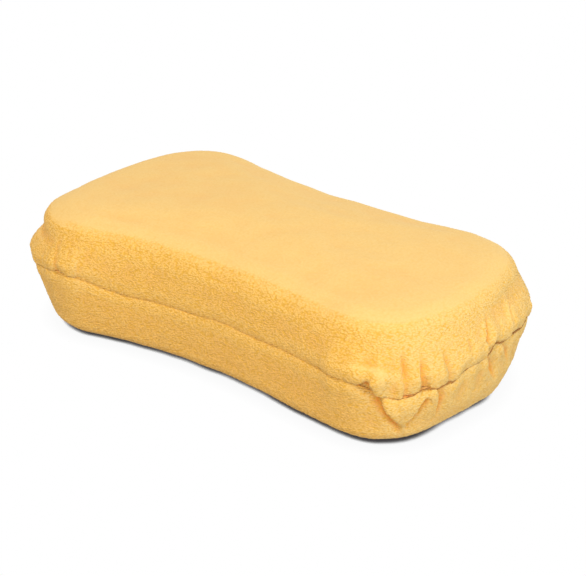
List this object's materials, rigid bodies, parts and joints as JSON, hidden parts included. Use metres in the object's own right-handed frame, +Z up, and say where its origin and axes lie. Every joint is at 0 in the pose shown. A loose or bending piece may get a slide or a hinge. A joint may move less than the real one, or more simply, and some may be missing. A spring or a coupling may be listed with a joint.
{
  "type": "cleaning sponge",
  "caption": "Bone-shaped cleaning sponge: a foam block in a cover of two sewn terry cloth panels, gathered round its rounded ends.",
  "frame": {"origin": "middle of the base on the surface that the sponge rests on", "axes": "+X along the length, +Y across the width, +Z up through the height"},
  "size_m": [0.2298, 0.1393, 0.062],
  "materials": {
    "terry_cloth": "matte looped terry pile",
    "foam": "matte open-cell foam",
    "thread": "matte spun thread"
  },
  "bodies": {
    "root": {"upper_cover": "terry_cloth", "lower_cover": "terry_cloth", "foam_core": "foam", "seam_thread": "thread"}
  },
  "joints": []
}
